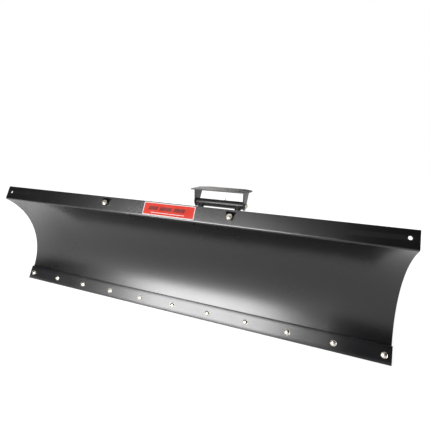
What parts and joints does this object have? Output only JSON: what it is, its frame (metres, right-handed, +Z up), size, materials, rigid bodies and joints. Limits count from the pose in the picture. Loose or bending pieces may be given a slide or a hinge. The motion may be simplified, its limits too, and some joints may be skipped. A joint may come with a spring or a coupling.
{
  "type": "atv plow blade",
  "caption": "Curved black steel snow plow blade with bolted wear bar, spring trip frame, angling swivel, skid shoes, push frame and hinge bracket for an ATV or UTV.",
  "frame": {"origin": "on the ground, under the middle of the whole plow's bounding box", "axes": "X along the blade, +Y back towards the vehicle, +Z up; the blade faces -Y"},
  "size_m": [1.578, 0.7466, 0.4584],
  "materials": {
    "black_powder_coat": "satin black powder coat on steel",
    "wear_bar": "satin black paint on a steel bar",
    "skid_shoe": "black painted iron, scuffed sole",
    "zinc_plate": "zinc plated steel",
    "spring_steel": "oiled spring steel",
    "label": "red vinyl decal with a pale outline, no lettering"
  },
  "bodies": {
    "mount_bracket": {"bracket_plate": "black_powder_coat", "bracket_ear_left": "black_powder_coat", "bracket_ear_right": "black_powder_coat", "lift_bolt": "zinc_plate"},
    "push_frame": {"sector_plate": "black_powder_coat", "king_tube": "black_powder_coat", "hinge_tube": "black_powder_coat", "cross_brace": "black_powder_coat", "lift_tab": "black_powder_coat", "side_arm_left": "black_powder_coat", "side_arm_right": "black_powder_coat"},
    "swivel": {"cross_tube": "black_powder_coat", "swivel_top_plate": "black_powder_coat", "swivel_bottom_plate": "black_powder_coat", "king_bolt": "zinc_plate", "lock_housing": "black_powder_coat", "swivel_lug_left": "black_powder_coat", "swivel_lug_right": "black_powder_coat", "spring_anchor_left": "black_powder_coat", "spring_anchor_right": "black_powder_coat"},
    "lock_pin": {"lock_pin": "zinc_plate", "lock_spring": "spring_steel"},
    "blade": {"eye_bolt_left": "zinc_plate", "eye_bolt_nut_left": "zinc_plate", "eye_bolt_nut_right": "zinc_plate", "eye_bolt_right": "zinc_plate", "label": "label", "moldboard": "black_powder_coat", "rib_inner_left": "black_powder_coat", "rib_inner_right": "black_powder_coat", "rib_outer_left": "black_powder_coat", "rib_outer_right": "black_powder_coat", "skid_socket_left": "black_powder_coat", "skid_socket_right": "black_powder_coat", "stiffener_left": "black_powder_coat", "stiffener_right": "black_powder_coat", "trip_pin_left": "zinc_plate", "trip_pin_right": "zinc_plate", "wear_bar": "wear_bar", "wear_bar_bolt_01": "zinc_plate", "wear_bar_bolt_02": "zinc_plate", "wear_bar_bolt_03": "zinc_plate", "wear_bar_bolt_04": "zinc_plate", "wear_bar_bolt_05": "zinc_plate", "wear_bar_bolt_06": "zinc_plate", "wear_bar_bolt_07": "zinc_plate", "wear_bar_bolt_08": "zinc_plate", "wear_bar_bolt_09": "zinc_plate", "wear_bar_bolt_10": "zinc_plate", "wear_bar_bolt_11": "zinc_plate"},
    "skid_left": {"skid_shoe_left": "skid_shoe", "skid_washer_left": "zinc_plate", "skid_pin_left": "zinc_plate"},
    "skid_right": {"skid_shoe_right": "skid_shoe", "skid_washer_right": "zinc_plate", "skid_pin_right": "zinc_plate"},
    "spring_left": {"trip_spring_left": "spring_steel"},
    "spring_right": {"trip_spring_right": "spring_steel"},
    "hook_left": {"spring_hook_left": "spring_steel"},
    "hook_right": {"spring_hook_right": "spring_steel"}
  },
  "joints": [
    {"name": "lift_hinge", "type": "hinge", "parent": "mount_bracket", "child": "push_frame", "pos_m": [0, 0.2533, 0.37], "axis": [-1, 0, 0], "range_deg": [0, 24]},
    {"name": "swing_hinge", "type": "hinge", "parent": "push_frame", "child": "swivel", "pos_m": [0, 0.0133, 0.185], "axis": [0, 0, 1], "range_deg": [-27, 27]},
    {"name": "trip_hinge", "type": "hinge", "parent": "swivel", "child": "blade", "pos_m": [0, -0.2091, 0.13], "axis": [1, 0, 0], "range_deg": [0, 25], "stiffness_Nm_per_rad": 415, "springref_deg": -15.18},
    {"name": "lock_pin_slide", "type": "slide", "parent": "swivel", "child": "lock_pin", "axis": [0, 0, 1], "range_m": [-0.016, 0], "deforming": ["lock_spring"]},
    {"name": "skid_left_height", "type": "slide", "parent": "blade", "child": "skid_left", "axis": [0, 0, 1], "range_m": [-0.03, 0]},
    {"name": "skid_right_height", "type": "slide", "parent": "blade", "child": "skid_right", "axis": [0, 0, 1], "range_m": [-0.03, 0]},
    {"name": "spring_left_swing", "type": "hinge", "parent": "swivel", "child": "spring_left", "pos_m": [-0.25, -0.0611, 0.2244], "axis": [1, 0, 0], "range_deg": [0, 18.2]},
    {"name": "spring_left_stretch", "type": "slide", "parent": "spring_left", "child": "hook_left", "axis": [0, -0.8166, 0.5772], "range_m": [0, 0.0662], "deforming": ["trip_spring_left"]},
    {"name": "spring_right_swing", "type": "hinge", "parent": "swivel", "child": "spring_right", "pos_m": [0.25, -0.0611, 0.2244], "axis": [1, 0, 0], "range_deg": [0, 18.2]},
    {"name": "spring_right_stretch", "type": "slide", "parent": "spring_right", "child": "hook_right", "axis": [0, -0.8166, 0.5772], "range_m": [0, 0.0662], "deforming": ["trip_spring_right"]}
  ],
  "couplings": [
    {"joint": "spring_left_swing", "follows": "trip_hinge", "ratio": 0.7054},
    {"joint": "spring_left_stretch", "follows": "trip_hinge", "m_per_rad": 0.14953},
    {"joint": "spring_right_swing", "follows": "trip_hinge", "ratio": 0.7054},
    {"joint": "spring_right_stretch", "follows": "trip_hinge", "m_per_rad": 0.14953}
  ]
}
